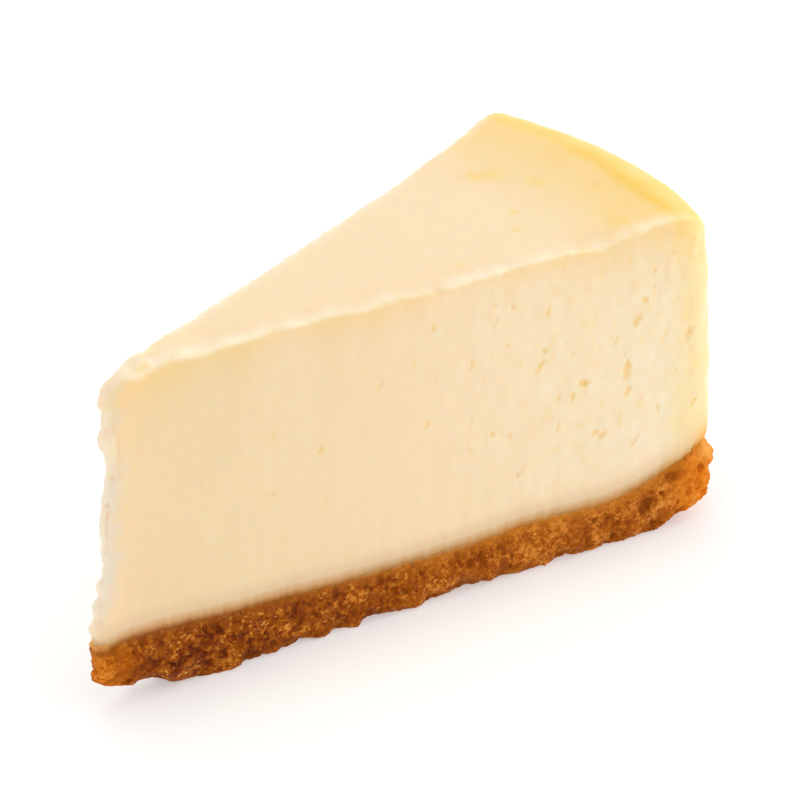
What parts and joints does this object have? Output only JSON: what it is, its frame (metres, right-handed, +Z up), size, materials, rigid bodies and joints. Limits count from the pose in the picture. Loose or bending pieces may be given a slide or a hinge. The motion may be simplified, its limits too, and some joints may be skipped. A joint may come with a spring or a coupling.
{
  "type": "cheesecake slice",
  "caption": "Wedge of plain baked cheesecake: a smooth cream-cheese filling with a browned rim on a pressed biscuit-crumb base, cut from a round cake.",
  "frame": {"origin": "centre of the slice's bounding box, on the surface that its underside stands on", "axes": "+X from the pointed tip to the rim along the slice's middle, +Y across the slice, +Z up"},
  "size_m": [0.1234, 0.0516, 0.0626],
  "materials": {
    "filling": "pale cream baked filling, satin skin",
    "crumb_base": "coarse golden-brown biscuit crumb"
  },
  "bodies": {
    "root": {"filling": "filling", "crumb_base": "crumb_base"}
  },
  "joints": []
}
